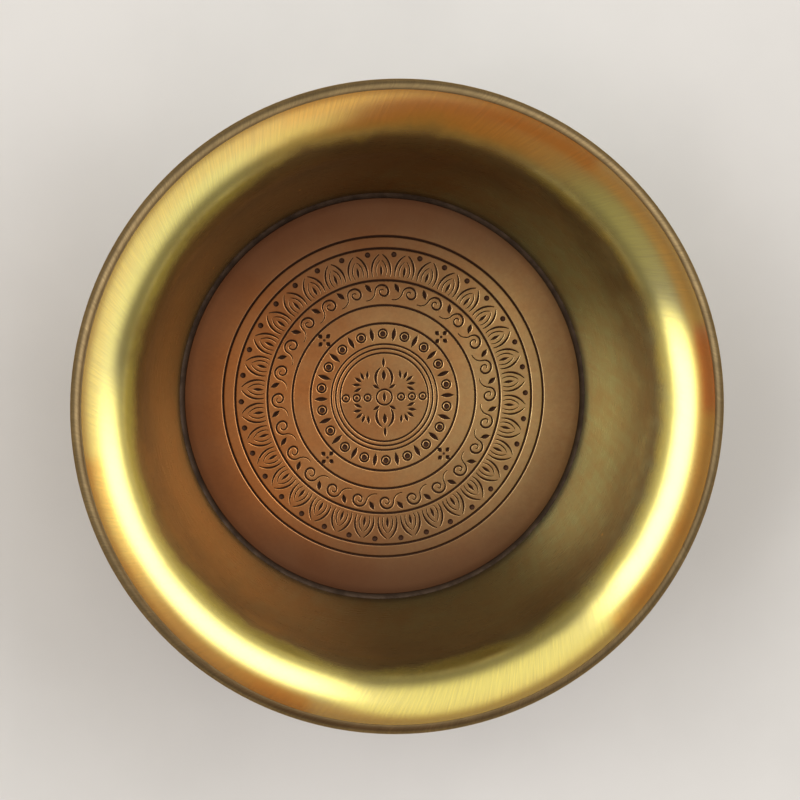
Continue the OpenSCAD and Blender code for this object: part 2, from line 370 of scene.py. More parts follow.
def add_line(curve, places, closed):
    """A line of straight stretches in a curve; its points are given back."""
    line = curve.splines.new("POLY")
    line.points.add(len(places) - 1)
    for point, (x, y) in zip(line.points, places):
        point.co = (x, y, 0, 1)
    line.use_cyclic_u = closed
    return line.points


class Cutter:
    """Strokes and punched dots that are made once, copied round the axis and cut out of the plate."""

    def __init__(self, name):
        self.line = settings().engraving.line
        self.graver = self.graver_point()
        self.name = name
        self.strokes = []
        self.dots = []

    def graver_point(self):
        """The section of a cut, whose shoulders run on above the plate's face."""
        edge, shoulder, bottom = cut_half(self.line)
        run_on = 0.7
        above = [e + run_on * (e - s) for e, s in zip(edge, shoulder)]
        right = [above, shoulder]
        left = [(-x, z) for x, z in right[::-1]]
        curve, graver = flat_curve("graver_point")
        add_line(curve, right + [bottom] + left, closed=True)
        return graver

    def stroke(self, points, width, closed=False):
        """A cut along points, whose width is a function of the share of the way along."""
        count = len(points) - (0 if closed else 1)
        widths = [width(i / count) for i in range(len(points))]
        self.strokes.append((points, widths, closed))

    def ring(self, centre, radius, width):
        """A round cut about a centre, inside a radius."""
        points = arc(centre, radius - width / 2, 0, 360, 24)[:-1]
        self.stroke(points, lambda t: width, closed=True)

    def leaf(self, centre, degrees, size, width):
        """A cut that swells from nothing and tapers again, along a direction."""
        steps = 8
        finest = width / 12
        points = [polar(centre, size * (i / steps - 0.5), degrees) for i in range(steps + 1)]
        self.stroke(points, lambda t: max(width * 4 * t * (1 - t), finest))

    def dot(self, centre, radius):
        """A round punch mark."""
        self.dots.append((centre, radius))

    def solid(self, copies=1):
        """The cutting solid, copied round the axis."""
        curve, solid = flat_curve(self.name)
        curve.bevel_mode = "OBJECT"
        curve.bevel_object = self.graver
        curve.use_fill_caps = True
        for points, widths, closed in self.strokes:
            for point, width in zip(add_line(curve, points, closed), widths):
                point.radius = width / self.line
        select_only(solid)
        bpy.ops.object.convert(target="MESH")
        solid = bpy.context.object
        solid.location.z = PLATE_HIGH.z
        bpy.ops.object.transform_apply(location=True, rotation=False, scale=False)
        punches = [self.punch(centre, radius) for centre, radius in self.dots]
        select_only(solid, *punches)
        if punches:
            bpy.ops.object.join()
        bpy.ops.object.mode_set(mode="EDIT")
        close_mesh()
        if copies > 1:
            last = copies - 1
            bpy.ops.mesh.spin(
                steps=last, angle=2 * math.pi * last / copies, dupli=True,
                center=(0, 0, 0), axis=(0, 0, 1),
            )
        bpy.ops.object.mode_set(mode="OBJECT")
        bpy.data.objects.remove(self.graver)
        return solid

    def punch(self, centre, radius):
        """A ball that leaves a round hollow of a radius in the plate's face."""
        depth = 0.8 * radius
        ball = (radius ** 2 + depth ** 2) / (2 * depth)
        bpy.ops.object.select_all(action="DESELECT")
        bpy.ops.mesh.primitive_uv_sphere_add(
            segments=24, ring_count=16, radius=ball,
            location=(centre[0], centre[1], PLATE_HIGH.z + ball - depth),
        )
        punch = bpy.context.object
        bpy.ops.object.transform_apply(location=True, rotation=False, scale=False)
        return punch


def swelling(width):
    """The width of a line that starts and ends finer than its middle."""
    at_ends, swell = 0.5, 0.6
    return lambda t: width * (at_ends + swell * math.sin(math.pi * t))


def ring_radii(sizes):
    """Radii of the engraved rings by name, from the emblem outwards."""
    radii = {"triple": [sizes.medallion + i * sizes.triple_step for i in range(3)]}
    radii["pearl"] = radii["triple"][2] + sizes.pearl_band
    radii["flower"] = radii["pearl"] + sizes.flower_band
    radii["scroll"] = radii["flower"] + sizes.scroll_band
    radii["lotus"] = radii["scroll"] + sizes.lotus_band
    radii["border"] = radii["lotus"] + sizes.border
    return radii


def arch(cutter, foot, width, rise, drop, line):
    """Two cuts that stand on a foot, swell and meet in a point above it."""
    curve_r = (rise ** 2 + width ** 2 / 4) / width
    middle = Vector((foot[0], foot[1] + drop))
    line_r = curve_r - line / 2
    low = math.degrees(math.asin(drop / line_r))
    high = math.degrees(math.asin((rise - line) / line_r))
    for side in (-1, 1):
        centre = middle - Vector((side * (curve_r - width / 2), 0))
        points = arc(centre, line_r, -low, high, 12)
        if side < 0:
            points = [Vector((2 * centre.x - p.x, p.y)) for p in points]
        cutter.stroke(points, swelling(line))


def cut_lotus_band(sizes, radii):
    """Double petals side by side, each with a vein, and a dot between their points."""
    cutter = Cutter("lotus_cuts")
    inner = radii["scroll"] + sizes.margin
    outer = radii["lotus"] - sizes.margin
    widest = inner + sizes.petal_belly
    rise = outer - widest
    turn = 2 * math.pi / sizes.petals
    width = turn * widest - sizes.petal_gap
    for width_share, rise_share, line_share in ((1, 1, 1), (0.58, 0.64, 0.7)):
        arch(
            cutter, (0, inner), width * width_share, rise * rise_share,
            sizes.petal_belly, sizes.line * line_share,
        )
    vein = 0.6 * rise
    cutter.leaf((0, widest), 90, vein, 1.4 * sizes.line)
    cutter.dot(polar((0, 0), outer - sizes.line, 90 + math.degrees(turn) / 2), sizes.line)
    return cutter.solid(sizes.petals)


def cut_scroll_band(sizes, radii):
    """Running scrolls, each a spiral of half turns with a tail and a leaf."""
    cutter = Cutter("scroll_cuts")
    reach = sizes.scroll_band - 2 * sizes.margin - sizes.scroll_r
    middle = Vector((0, radii["flower"] + sizes.margin + reach))
    turn_r = sizes.scroll_r - sizes.line / 2
    tail_r = reach - sizes.line / 2
    step = turn_r / 3
    aside = Vector((step, 0))
    spiral = (
        arc(middle - Vector((turn_r + tail_r, 0)), tail_r, -90, 0, 6)
        + arc(middle, turn_r, 180, 0, 12)[1:]
        + arc(middle + aside, turn_r - step, 0, -180, 10)[1:]
        + arc(middle, turn_r - 2 * step, 180, 20, 6)[1:]
    )
    cutter.stroke(spiral, swelling(sizes.line))
    cutter.leaf(middle + Vector((-sizes.scroll_r - reach / 2, reach / 3)), 130, reach, 2 * sizes.line)
    return cutter.solid(sizes.scrolls)


def cut_flower_band(sizes, radii):
    """Four-petalled flowers on the diagonals."""
    cutter = Cutter("flower_cuts")
    middle = polar((0, 0), (radii["pearl"] + radii["flower"]) / 2, 45)
    cutter.dot(middle, sizes.line / 2)
    for corner in (45, 135, 225, 315):
        place = polar(middle, sizes.line + sizes.flower_petal / 2, corner)
        cutter.leaf(place, corner, sizes.flower_petal, 2 * sizes.line)
    return cutter.solid(4)


def cut_pearl_band(sizes, radii):
    """Pearls, each a ring with a dot, and an upright leaf between each two."""
    cutter = Cutter("pearl_cuts")
    middle = (radii["triple"][2] + radii["pearl"]) / 2
    room = sizes.pearl_band - 2 * sizes.margin
    cutter.ring((0, middle), room / 2 - sizes.line / 2, sizes.line)
    cutter.dot((0, middle), sizes.line)
    half_way = 90 + 180 / sizes.pearls
    cutter.leaf(polar((0, 0), middle, half_way), half_way, room, 2 * sizes.line)
    return cutter.solid(sizes.pearls)


def cut_emblem(sizes):
    """A ring with a leaf in it, three links at each side, and the points and collars of the buds."""
    cutter = Cutter("emblem_cuts")
    cutter.ring((0, 0), sizes.hub, sizes.line)
    cutter.leaf((0, 0), 90, 1.2 * sizes.hub, 1.6 * sizes.line)
    fine_leaf = 1.5 * sizes.line
    collar_size = 0.4 * sizes.bud_width
    for end in (-1, 1):
        cutter.leaf((0, end * (sizes.bud_reach + sizes.line / 2)), 90, 4 * sizes.line, fine_leaf)
        for side in (-1, 1):
            collar = Vector((side * collar_size, end * (sizes.hub + sizes.line / 2)))
            cutter.leaf(collar, 90 - side * end * 60, collar_size, fine_leaf)
    for i in range(3):
        reach = sizes.hub + sizes.line + sizes.link + i * sizes.link_step
        for side in (-1, 1):
            cutter.ring((side * reach, 0), sizes.link, sizes.line)
            cutter.dot((side * reach, 0), sizes.line / 2)
    return cutter.solid()


def cut_bud_and_sprays(sizes):
    """A closed bud at each end of the emblem, with a leaf spray at each side of it."""
    cutter = Cutter("bud_cuts")
    foot = sizes.hub + sizes.line
    belly = (sizes.bud_reach - foot) / 3
    rise = sizes.bud_reach - foot - belly
    arch(cutter, (0, foot), sizes.bud_width, rise, belly, 1.3 * sizes.line)
    cutter.leaf((0, foot + belly + sizes.line), 90, rise - sizes.line, 2 * sizes.line)
    fan_r = (sizes.medallion + sizes.hub) / 2 - 2 * sizes.line
    leaf_step = 30
    for lean in (35, 145):
        fan = polar((0, 0), fan_r, lean)
        for i in range(-2, 3):
            aim = lean + leaf_step * i
            place = polar(fan, 2 * sizes.line + sizes.spray_leaf / 2, aim)
            cutter.leaf(place, aim, sizes.spray_leaf, 1.5 * sizes.line)
    return cutter.solid(2)


# Node trees

def feed(tree, socket, value):
    """Link a socket to another node's output, or set it to a plain value."""
    if isinstance(value, bpy.types.NodeSocket):
        tree.links.new(value, socket)
    else:
        socket.default_value = value


def add(tree, kind, inputs=(), **options):
    """Place a node with its options, and feed its inputs by place or by name."""
    node = tree.nodes.new("ShaderNode" + kind)
    for key, value in options.items():
        setattr(node, key, value)
    pairs = inputs.items() if isinstance(inputs, dict) else enumerate(inputs)
    for key, value in pairs:
        feed(tree, node.inputs[key], value)
    return node


def sums(tree, operation, *values):
    """The result of a sum on one, two or three numbers."""
    return add(tree, "Math", values, operation=operation).outputs[0]


def plus(tree, first, second):
    return sums(tree, "ADD", first, second)


def minus(tree, first, second):
    return sums(tree, "SUBTRACT", first, second)


def times(tree, first, second):
    return sums(tree, "MULTIPLY", first, second)


def vectors(tree, operation, *values):
    """The vector that comes of a sum on vectors."""
    return add(tree, "VectorMath", values, operation=operation).outputs[0]


def spread(tree, value, low, high, start=0.0, end=1.0):
    """A value that runs from start to end, smoothly, as another goes from low to high."""
    inputs = (value, low, high, start, end)
    return add(tree, "MapRange", inputs, interpolation_type="SMOOTHSTEP").outputs[0]


def between(tree, mask, start, end):
    """A value that runs from start to end as a mask goes from 0 to 1."""
    return spread(tree, mask, 0.0, 1.0, start, end)


def tint(tree, base, hue, mask, amount=1.0):
    """A base colour with another laid over it, as far as a mask and an amount say."""
    factor = times(tree, mask, amount) if amount < 1.0 else mask
    return add(tree, "Mix", {0: factor, 6: base, 7: hue}, data_type="RGBA").outputs[2]


def new_group(name, inputs, output):
    """A shader node group with named inputs and one output, and its two end nodes' sockets."""
    tree = bpy.data.node_groups.new(name, "ShaderNodeTree")
    for label, kind in inputs:
        tree.interface.new_socket(name=label, in_out="INPUT", socket_type="NodeSocket" + kind)
    tree.interface.new_socket(name=output, in_out="OUTPUT", socket_type="NodeSocketFloat")
    entry = tree.nodes.new("NodeGroupInput").outputs
    result = tree.nodes.new("NodeGroupOutput").inputs[0]
    return tree, entry, result


def polar_parts(tree, point):
    """Direction round the axis, distance from the axis and height of a point."""
    x, y, z = add(tree, "SeparateXYZ", (point,)).outputs
    flat = add(tree, "CombineXYZ", (x, y, 0.0)).outputs[0]
    distance = add(tree, "VectorMath", (flat,), operation="LENGTH").outputs["Value"]
    return vectors(tree, "NORMALIZE", flat), distance, z


def facing(tree, direction, aim):
    """How far a direction points along an aim, from -1 to 1."""
    return add(tree, "VectorMath", (direction, aim), operation="DOT_PRODUCT").outputs["Value"]


def toward(tree, direction, azimuth):
    """How far a direction round the axis points toward an azimuth in degrees, from -1 to 1."""
    return facing(tree, direction, (*polar((0, 0), 1.0, azimuth), 0.0))


def turned(tree, direction, turn):
    """A direction round the axis, turned by an angle."""
    inputs = {"Vector": direction, "Angle": turn}
    return add(tree, "VectorRotate", inputs, rotation_type="Z_AXIS").outputs[0]


def brush_marks_group():
    """Marks of a brush: long round the axis or across it, and leaning by an angle for each metre."""
    tree, entry, result = new_group(
        "Brush marks",
        [("Point", "Vector"), ("Across", "Float"), ("Around", "Float"), ("Lean", "Float")],
        "Marks",
    )
    direction, distance, height = polar_parts(tree, entry["Point"])
    reach = plus(tree, distance, height)
    leaning = turned(tree, direction, times(tree, reach, entry["Lean"]))
    stretched = {0: leaning, "Scale": entry["Around"]}
    around = add(tree, "VectorMath", stretched, operation="SCALE").outputs[0]
    across = sums(tree, "DIVIDE", reach, entry["Across"])
    place = vectors(tree, "ADD", around, add(tree, "CombineXYZ", (0.0, 0.0, across)).outputs[0])
    noise = add(tree, "TexNoise", {"Vector": place, "Scale": 1.0, "Detail": 4.0, "Roughness": 0.65})
    feed(tree, result, spread(tree, noise.outputs[0], 0.25, 0.75))
    return tree


def mottle_group():
    """Soft clouds with finer clouds in them, as a patina takes."""
    tree, entry, result = new_group(
        "Patina mottle", [("Point", "Vector"), ("Size", "Float")], "Mottle"
    )
    scale = sums(tree, "DIVIDE", 1.0, entry["Size"])
    noise = add(
        tree, "TexNoise", {"Vector": entry["Point"], "Scale": scale, "Detail": 5.0, "Roughness": 0.55}
    )
    feed(tree, result, spread(tree, noise.outputs[0], 0.3, 0.7))
    return tree


def effect(tree, name, build, **values):
    """A shared effect in a material, with its own values; the group is built on first use."""
    node = add(tree, "Group", node_tree=bpy.data.node_groups.get(name) or build())
    feed(tree, node.inputs["Point"], object_point(tree))
    for label, value in values.items():
        feed(tree, node.inputs[label], value)
    return node.outputs[0]


def object_point(tree):
    """The shaded point in the piece's own coordinates."""
    return add(tree, "TexCoord").outputs["Object"]


def brush_marks(tree, across, around, lean=0.0):
    return effect(tree, "Brush marks", brush_marks_group, Across=across, Around=around, Lean=lean)


def mottle(tree, size):
    return effect(tree, "Patina mottle", mottle_group, Size=size)


def specks(tree, spacing, size, share_of_cells):
    """Mask of small round spots, scattered thinly."""
    cells = add(tree, "TexVoronoi", {"Vector": object_point(tree), "Scale": 1 / spacing})
    chosen = add(tree, "SeparateColor", (cells.outputs["Color"],)).outputs[0]
    there = sums(tree, "LESS_THAN", chosen, share_of_cells)
    spot = size / spacing
    core = 0.6 * spot
    return times(tree, there, spread(tree, cells.outputs["Distance"], core, spot, 1.0, 0.0))


def metal(name, anisotropy=0.0, across=False):
    """A new metal material: its tree and its shader, brushed round the axis or across it."""
    material = bpy.data.materials.new(name)
    material.use_nodes = True
    tree = material.node_tree
    shader = tree.nodes["Principled BSDF"]
    shader.inputs["Metallic"].default_value = 1.0
    if anisotropy:
        shader.inputs["Anisotropic"].default_value = anisotropy
        shader.inputs["Anisotropic Rotation"].default_value = 0.0 if across else 0.25
        tangent = add(tree, "Tangent", direction_type="RADIAL", axis="Z")
        feed(tree, shader.inputs["Tangent"], tangent.outputs[0])
    return material, tree, shader


def connect(tree, shader, **sockets):
    """Feed the shader's inputs; underscores stand for spaces."""
    for label, value in sockets.items():
        feed(tree, shader.inputs[label.replace("_", " ")], value)


def bump(tree, height, distance, strength):
    """A normal that is raised by a height."""
    inputs = {"Height": height, "Distance": distance, "Strength": strength}
    return add(tree, "Bump", inputs).outputs[0]


# Brass of the shell and the foot

def wall_patina(tree, direction, height, clouds):
    """Brown to olive patina with red clouds, smoky toward the lip, and painted shade at two sides and
    at the floor seam.
    """
    finish = settings().finish
    smoke_from, smoke_full = WIRE_HIGH.z - 30 * MM, WIRE_HIGH.z - 10 * MM
    # Heights of the painted shade at the wall's foot, in the corner at the floor seam
    soot_and_shade_from, shade_to = PLATE_HIGH.z - 0.2 * MM, PLATE_HIGH.z + 2.3 * MM
    # Foot of the two leaning patches of painted shade
    shade_foot = PLATE_HIGH.z + 0.3 * MM
    olive_side = toward(tree, direction, 350)
    streaks = brush_marks(tree, across=25 * MM, around=26.0, lean=5.0)
    uneven = times(tree, plus(tree, clouds, streaks), 0.45)
    greener = spread(tree, plus(tree, olive_side, uneven), -0.2, 1.3)
    patina = tint(tree, finish.brown, finish.olive, greener)
    patina = tint(tree, patina, finish.brown, streaks, 0.35)
    patina = tint(tree, patina, finish.ember, mottle(tree, 4 * MM), 0.25)
    rising = spread(tree, height, smoke_from, smoke_full)
    smoky = times(tree, rising, spread(tree, clouds, -0.6, 1.0))
    patina = tint(tree, patina, finish.smoke_and_shade, smoky, 0.75)
    # Painted shade: two leaning darker patches on the sides where less light falls
    below = minus(tree, shade_foot, height)
    for azimuth, lean, amount in ((272, 8.0, 0.62), (120, -18.0, 0.42)):
        leaning = turned(tree, direction, times(tree, below, lean))
        film_and_shade = spread(tree, toward(tree, leaning, azimuth), 0.6, 1.0, 0.0, amount)
        patina = tint(tree, patina, finish.smoke_and_shade, film_and_shade)
    # Painted shade in the corner where the wall meets the plate
    return tint(tree, patina, finish.soot_and_shade, spread(tree, height, soot_and_shade_from, shade_to, 0.6, 0.0))


def bare_lip(tree, direction, height, clouds):
    """Mask of the bare lip, whose lower edge wavers and lies higher at the back."""
    bare_from, bare_full = WIRE_HIGH.z - 6.5 * MM, WIRE_HIGH.z - 1.5 * MM
    wobble = times(tree, plus(tree, clouds, mottle(tree, 40 * MM)), 2 * MM)
    back = toward(tree, direction, 90)
    filmed = spread(tree, back, 0.75, 0.97, 1 * MM, 3 * MM)
    level = plus(tree, height, minus(tree, wobble, filmed))
    return spread(tree, level, bare_from, bare_full)


def warm_edge(tree, direction, distance):
    """Mask of the amber at the lip's edge, painted as the dim reflection between the lamps' highlights
    and mostly left out in three sectors where they reach the edge.
    """
    amber_from, amber_full = SHELL_HIGH.x - 4.6 * MM, SHELL_HIGH.x - 2 * MM
    soft_degrees = 2
    warm = between(tree, mottle(tree, 22 * MM), 0.6, 0.95)
    # Three sectors where the lamps' highlights reach the edge, with the share of amber left in each;
    # the painted dim reflection is mostly taken out there
    for azimuth, reach, left in ((282, 31, 0.15), (31, 19, 0.15), (149, 38, 0.45)):
        near, far = (math.cos(math.radians(reach + way * soft_degrees)) for way in (-1, 1))
        rubbed = spread(tree, toward(tree, direction, azimuth), far, near, 1.0, left)
        warm = times(tree, warm, rubbed)
    return times(tree, spread(tree, distance, amber_from, amber_full), warm)


def brass_material(name):
    """Spun brass: gold on the lip, amber at its edge and back as painted dim reflection, brown to olive
    patina in the wall.
    """
    finish = settings().finish
    blush_from, blush_full = SHELL_HIGH.x - 3.3 * MM, SHELL_HIGH.x - 1.6 * MM
    material, tree, shader = metal(name, anisotropy=1.0)
    direction, distance, height = polar_parts(tree, object_point(tree))
    clouds = mottle(tree, 14 * MM)
    bare = bare_lip(tree, direction, height, clouds)
    base = tint(tree, wall_patina(tree, direction, height, clouds), finish.gold, bare)
    # Painted dim reflection: amber on the bare lip at the back
    painted_dim_back = spread(tree, toward(tree, direction, 92), 0.8, 0.98, 0.0, 0.6)
    base = tint(tree, base, finish.amber, times(tree, painted_dim_back, bare))
    # Amber at the edge, painted dim reflection between the lamps' highlights
    warm = warm_edge(tree, direction, distance)
    base = tint(tree, base, finish.amber, warm)
    # Painted reflection: an orange patch at the edge beside the right-hand highlight
    blush_side = spread(tree, toward(tree, direction, 6), 0.985, 0.995)
    blushing = times(tree, spread(tree, distance, blush_from, blush_full), blush_side)
    base = tint(tree, base, finish.blush, blushing, 0.8)
    spun = brush_marks(tree, across=0.3 * MM, around=9.0)
    crossed = brush_marks(tree, across=7 * MM, around=240.0, lean=7.0)
    strokes = plus(tree, spun, times(tree, bare, minus(tree, crossed, spun)))
    base = tint(tree, base, finish.brown, strokes, 0.24)
    spots = specks(tree, spacing=6 * MM, size=0.35 * MM, share_of_cells=0.1)
    base = tint(tree, base, finish.amber, spots, 0.6)
    rough = plus(tree, between(tree, bare, 0.27, 0.135), times(tree, strokes, 0.02))
    shine = between(tree, bare, 0.88, 1.0)
    dulled = sums(tree, "MAXIMUM", warm, painted_dim_back)
    clear = times(tree, bare, between(tree, dulled, 1.0, 0.3))
    connect(
        tree, shader, Base_Color=base, Roughness=rough, Metallic=shine, Coat_Weight=clear,
        Coat_Roughness=0.24, Coat_IOR=2.0, Normal=bump(tree, strokes, 0.01 * MM, 0.15),
    )
    return material


# Copper of the floor plate, and the other metals

def plate_film_and_shade(tree, direction, distance, y, clouds, golden):
    """How far the copper is darkened, mostly as painted shade: most outside the rings and at the
    plate's two ends, some at two sides, with clouds of tone.
    """
    radii = ring_radii(settings().engraving)
    ends_from = 20 * MM
    outer = spread(tree, distance, radii["lotus"], PLATE_HIGH.x, 0.0, 0.78)
    film_and_shade = times(tree, outer, between(tree, golden, 1.0, 0.72))
    film_and_shade = plus(tree, film_and_shade, between(tree, clouds, 0.06, 0.19))
    outside = spread(tree, distance, radii["triple"][2], radii["scroll"])
    for azimuth, amount in ((285, 0.3), (100, 0.42)):
        side = spread(tree, toward(tree, direction, azimuth), 0.4, 1.0, 0.0, amount)
        film_and_shade = plus(tree, film_and_shade, times(tree, side, outside))
    film_and_shade = plus(tree, film_and_shade, spread(tree, distance, 0.0, radii["flower"], 0.2, 0.0))
    ends = spread(tree, sums(tree, "ABSOLUTE", y), ends_from, PLATE_HIGH.x, 0.0, 0.6)
    # Share of the copper that shows where the darkening is 1
    shows = 0.22
    bare = sums(tree, "POWER", shows, plus(tree, film_and_shade, ends))
    return minus(tree, 1.0, bare)


def copper_material(name):
    """Engraved copper: red at the left to golden at the right as painted light, painted shade outside
    the rings and at its edge, sooty in the cuts.
    """
    finish = settings().finish
    red_to, golden_from = -25 * MM, 42 * MM
    soot_and_shade_from, soot_full = 0.02 * MM, 0.07 * MM
    edge_width = 2 * MM
    material, tree, shader = metal(name)
    point = object_point(tree)
    direction, distance, height = polar_parts(tree, point)
    x, y = add(tree, "SeparateXYZ", (point,)).outputs[:2]
    clouds = mottle(tree, 11 * MM)
    grain = mottle(tree, 0.7 * MM)
    # Painted light: the plate turns from red at the left to lighter golden copper at the right
    golden = spread(tree, plus(tree, x, times(tree, clouds, 14 * MM)), red_to, golden_from)
    base = tint(tree, finish.red_copper, finish.copper, golden)
    base = tint(tree, base, finish.red_copper, mottle(tree, 2.2 * MM), 0.22)
    # Painted shade outside the rings, at the plate's ends and at two sides
    base = tint(tree, base, finish.russet, plate_film_and_shade(tree, direction, distance, y, clouds, golden))
    base = tint(tree, base, finish.russet, grain, 0.15)
    sooty = spread(tree, minus(tree, PLATE_HIGH.z, height), soot_and_shade_from, soot_full)
    base = tint(tree, base, finish.soot_and_shade, sooty)
    # Painted shade along the plate's edge, in the corner by the wall
    edge = spread(tree, distance, PLATE_HIGH.x - edge_width, PLATE_HIGH.x, 0.0, 0.4)
    base = tint(tree, base, finish.soot_and_shade, edge)
    rough = plus(tree, between(tree, sooty, 0.29, 0.6), times(tree, clouds, 0.08))
    connect(
        tree, shader, Base_Color=base, Roughness=rough, Metallic=between(tree, sooty, 1.0, 0.4),
        Specular_IOR_Level=0.15, Normal=bump(tree, grain, 0.01 * MM, 0.3),
    )
    return material


def wire_material(name):
    """Satin wire, rubbed across its length."""
    finish = settings().finish
    material, tree, shader = metal(name, anisotropy=0.4, across=True)
    strokes = brush_marks(tree, across=2 * MM, around=300.0, lean=16.0)
    base = tint(tree, finish.wire, finish.wire_dark, strokes, 0.6)
    base = tint(tree, base, finish.wire_dark, mottle(tree, 5 * MM), 0.4)
    connect(
        tree, shader, Base_Color=base, Roughness=between(tree, strokes, 0.38, 0.5),
        Specular_Tint=finish.wire_glint, Normal=bump(tree, strokes, 0.02 * MM, 0.5),
    )
    return material


def solder_material(name):
    """Darkened solder with paler rubbed places."""
    finish = settings().finish
    material, tree, shader = metal(name)
    clouds = mottle(tree, 3 * MM)
    connect(
        tree, shader, Base_Color=tint(tree, finish.solder, finish.solder_pale, clouds, 0.7),
        Roughness=between(tree, clouds, 0.85, 0.7), Normal=bump(tree, clouds, 0.05 * MM, 0.5),
    )
    return material


MATERIALS = {
    "shell_brass": ("brushed_brass", brass_material),
    "wire_brass": ("cross_brushed_wire", wire_material),
    "plate_copper": ("engraved_copper", copper_material),
    "solder": ("darkened_solder", solder_material),
}


# Operators, one for each piece or group of like pieces

class PieceOperator(bpy.types.Operator):
    """What the operators share"""

    bl_options = {"REGISTER", "UNDO"}


class BOWL_OT_shell(PieceOperator):
    """Spin the brass shell with its S-curved wall and flared lip"""

    bl_idname = "incense_bowl.shell"
    bl_label = "Bowl shell"

    def execute(self, context):
        sizes = settings().sizes
        wall = WallCurve(sizes)
        end_r = SHELL_HIGH.x
        inner = wall.face(0, end_r - sizes.lip_edge)
        outer = wall.face(sizes.wall, end_r - sizes.lip_edge)
        edge = [(end_r, inner[-1].y - sizes.lip_edge), (end_r, outer[-1].y + sizes.lip_edge)]
        shell = lathe("spun_bowl_shell", inner + edge + outer[::-1], closed=False)
        finish_piece(shell, "bowl_shell", "shell_brass")
        return {"FINISHED"}


class BOWL_OT_rim_wire(PieceOperator):
    """Bend the half-round wire round the edge of the lip"""

    bl_idname = "incense_bowl.rim_wire"
    bl_label = "Rim wire"

    def execute(self, context):
        edge = settings().sizes.wire_edge
        gap = 0.01 * MM
        middle = Vector((WIRE_FACE_R, (WIRE_LOW.z + WIRE_HIGH.z) / 2))
        against_lip = SHELL_HIGH.x - WIRE_FACE_R + gap
        lean = math.degrees(math.asin(edge / WIRE_R))
        round_face = arc(middle, WIRE_R, lean - 90, 90 - lean, 28)
        flat = [middle + Vector((against_lip, side * (WIRE_R - edge))) for side in (1, -1)]
        wire = lathe("half_round_rim_wire", round_face + flat)
        finish_piece(wire, "rim_wire", "wire_brass")
        return {"FINISHED"}


class BOWL_OT_floor_plate(PieceOperator):
    """Turn the copper plate and engrave its rings and ornament"""

    bl_idname = "incense_bowl.floor_plate"
    bl_label = "Floor plate"

    def execute(self, context):
        sizes = settings().engraving
        radii = ring_radii(sizes)
        plate = lathe("engraved_floor_plate", self.outline(sizes, radii), closed=False)
        for cutter in (
            cut_emblem(sizes),
            cut_bud_and_sprays(sizes),
            cut_pearl_band(sizes, radii),
            cut_flower_band(sizes, radii),
            cut_scroll_band(sizes, radii),
            cut_lotus_band(sizes, radii),
        ):
            self.engrave(plate, cutter)
        bpy.ops.object.mode_set(mode="EDIT")
        bpy.ops.mesh.select_all(action="SELECT")
        bpy.ops.mesh.dissolve_degenerate(threshold=SLIVER)
        bpy.ops.object.mode_set(mode="OBJECT")
        smooth(plate, sharpest=18)
        finish_piece(plate, "floor_plate", "plate_copper")
        return {"FINISHED"}

    def outline(self, sizes, radii):
        """Half of the plate's section, with a pointed groove at each ring."""
        single = ("pearl", "flower", "scroll", "lotus", "border")
        rings = [(r, sizes.triple_line) for r in radii["triple"]]
        rings += [(radii[name], sizes.ring_line) for name in single]
        top, edge = PLATE_HIGH.z, settings().sizes.plate_edge
        points = [(0, top)]
        for r, width in rings:
            half = cut_half(width)
            points += [(r - x, top + z) for x, z in half]
            points += [(r + x, top + z) for x, z in half[-2::-1]]
        return points + [
            (PLATE_HIGH.x - edge, top),
            (PLATE_HIGH.x, top - edge),
            (PLATE_HIGH.x, PLATE_LOW.z),
            (0, PLATE_LOW.z),
        ]

    def engrave(self, plate, cutter):
        """Cut a solid out of the plate."""
        select_only(plate)
        cut = plate.modifiers.new("engraving", "BOOLEAN")
        cut.operation = "DIFFERENCE"
        cut.solver = "EXACT"
        cut.object = cutter
        bpy.ops.object.modifier_apply(modifier=cut.name)
        bpy.data.objects.remove(cutter)


class BOWL_OT_foot_ring(PieceOperator):
    """Turn the foot ring with its hollow flank"""

    bl_idname = "incense_bowl.foot_ring"
    bl_label = "Foot ring"

    def execute(self, context):
        sizes = settings().sizes
        inner_r = min(FOOT_HIGH.x, sizes.foot_waist) - sizes.foot_wall
        edge = (FOOT_HIGH.x, sizes.foot_land)
        waist = (sizes.foot_waist, FOOT_HIGH.z)
        cove_c = crossing(waist, sizes.foot_cove, edge, sizes.foot_cove)
        cove = arc(
            cove_c, sizes.foot_cove, heading(cove_c, edge) % 360, heading(cove_c, waist) % 360, 16
        )
        outline = [
            (inner_r, FOOT_HIGH.z),
            (inner_r, sizes.foot_edge),
            (inner_r + sizes.foot_edge, 0),
            (FOOT_HIGH.x - sizes.foot_edge / 2, 0),
            (FOOT_HIGH.x, sizes.foot_edge / 2),
        ]
        foot = lathe("turned_foot_ring", outline + cove)
        finish_piece(foot, "foot_ring", "shell_brass")
        return {"FINISHED"}


